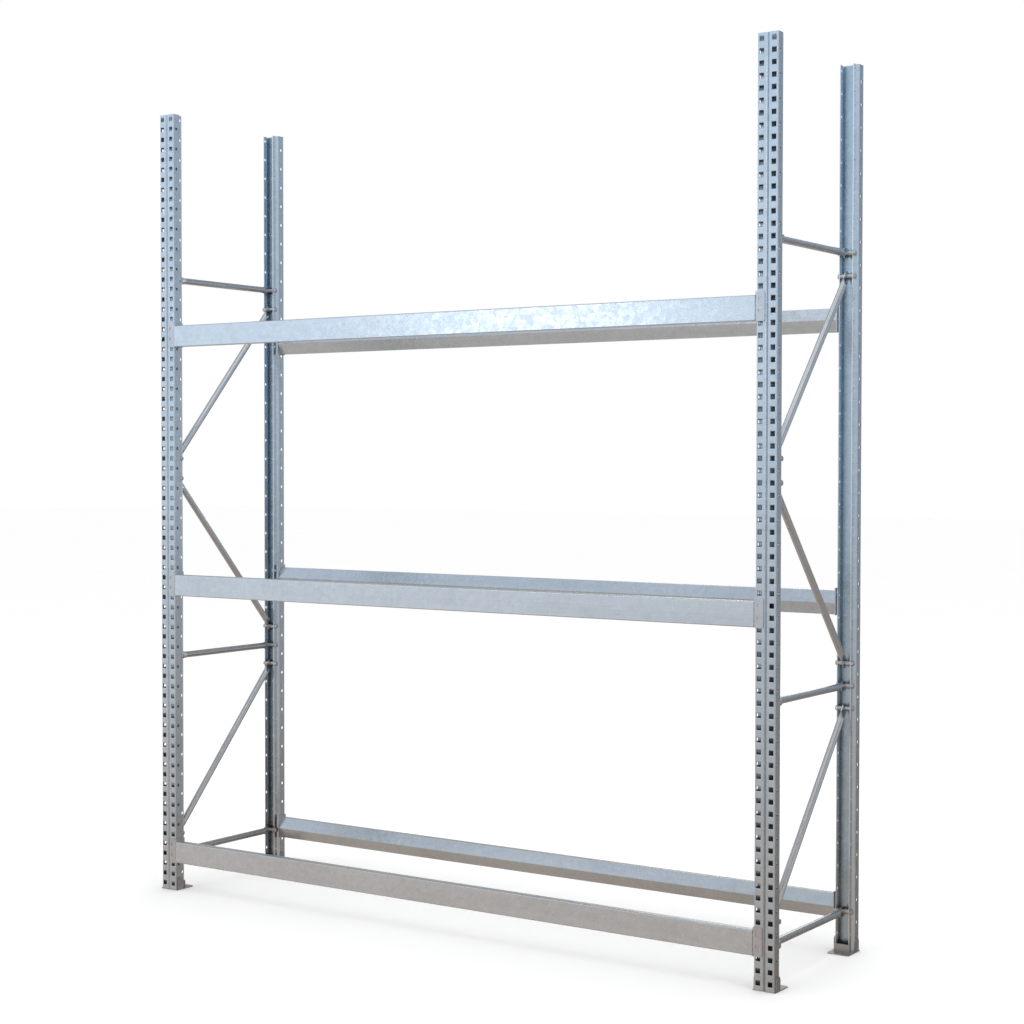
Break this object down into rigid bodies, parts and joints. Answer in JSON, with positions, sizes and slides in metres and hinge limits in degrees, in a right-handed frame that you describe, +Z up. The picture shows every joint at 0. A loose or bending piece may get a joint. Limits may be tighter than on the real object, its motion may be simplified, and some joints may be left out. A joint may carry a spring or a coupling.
{
  "type": "tyre storage rack",
  "caption": "Free-standing galvanised tyre rack: two braced upright frames of perforated posts joined by pairs of hook-in beams with V-shaped inner faces.",
  "frame": {"origin": "on the floor, at the middle of the rack's footprint", "axes": "+Z up, +X along the beams from the left frame to the right frame, +Y from front to rear"},
  "size_m": [2.2064, 0.5414, 2.5],
  "materials": {
    "post_zinc": "bright galvanised sheet",
    "foot_zinc": "galvanised sheet",
    "brace_zinc": "dull galvanised tube",
    "beam_zinc": "bright galvanised sheet",
    "connector_zinc": "galvanised plate",
    "fastener_zinc": "zinc plated"
  },
  "bodies": {
    "uprights": {"bolts_front_left": "fastener_zinc", "bolts_front_right": "fastener_zinc", "bolts_rear_left": "fastener_zinc", "bolts_rear_right": "fastener_zinc", "brace_left_bottom": "brace_zinc", "brace_left_lower_diagonal": "brace_zinc", "brace_left_middle": "brace_zinc", "brace_left_middle_diagonal": "brace_zinc", "brace_left_top": "brace_zinc", "brace_left_upper_diagonal": "brace_zinc", "brace_right_bottom": "brace_zinc", "brace_right_lower_diagonal": "brace_zinc", "brace_right_middle": "brace_zinc", "brace_right_middle_diagonal": "brace_zinc", "brace_right_top": "brace_zinc", "brace_right_upper_diagonal": "brace_zinc", "foot_front_left": "foot_zinc", "foot_front_right": "foot_zinc", "foot_rear_left": "foot_zinc", "foot_rear_right": "foot_zinc", "nuts_front_left": "fastener_zinc", "nuts_front_right": "fastener_zinc", "nuts_rear_left": "fastener_zinc", "nuts_rear_right": "fastener_zinc", "post_front_left": "post_zinc", "post_front_right": "post_zinc", "post_rear_left": "post_zinc", "post_rear_right": "post_zinc", "spacers_front_left": "fastener_zinc", "spacers_front_right": "fastener_zinc", "spacers_rear_left": "fastener_zinc", "spacers_rear_right": "fastener_zinc"},
    "front_low_beam": {"beam_front_low": "beam_zinc", "connector_front_low_left": "connector_zinc", "connector_front_low_right": "connector_zinc"},
    "front_middle_beam": {"beam_front_middle": "beam_zinc", "connector_front_middle_left": "connector_zinc", "connector_front_middle_right": "connector_zinc"},
    "front_high_beam": {"beam_front_high": "beam_zinc", "connector_front_high_left": "connector_zinc", "connector_front_high_right": "connector_zinc"},
    "rear_low_beam": {"beam_rear_low": "beam_zinc", "connector_rear_low_left": "connector_zinc", "connector_rear_low_right": "connector_zinc"},
    "rear_middle_beam": {"beam_rear_middle": "beam_zinc", "connector_rear_middle_left": "connector_zinc", "connector_rear_middle_right": "connector_zinc"},
    "rear_high_beam": {"beam_rear_high": "beam_zinc", "connector_rear_high_left": "connector_zinc", "connector_rear_high_right": "connector_zinc"}
  },
  "joints": [
    {"name": "front_low_beam_lift", "type": "slide", "parent": "uprights", "child": "front_low_beam", "axis": [0, 0, 1], "range_m": [0, 0.0065]},
    {"name": "front_middle_beam_lift", "type": "slide", "parent": "uprights", "child": "front_middle_beam", "axis": [0, 0, 1], "range_m": [0, 0.0065]},
    {"name": "front_high_beam_lift", "type": "slide", "parent": "uprights", "child": "front_high_beam", "axis": [0, 0, 1], "range_m": [0, 0.0065]},
    {"name": "rear_low_beam_lift", "type": "slide", "parent": "uprights", "child": "rear_low_beam", "axis": [0, 0, 1], "range_m": [0, 0.0065]},
    {"name": "rear_middle_beam_lift", "type": "slide", "parent": "uprights", "child": "rear_middle_beam", "axis": [0, 0, 1], "range_m": [0, 0.0065]},
    {"name": "rear_high_beam_lift", "type": "slide", "parent": "uprights", "child": "rear_high_beam", "axis": [0, 0, 1], "range_m": [0, 0.0065]}
  ]
}
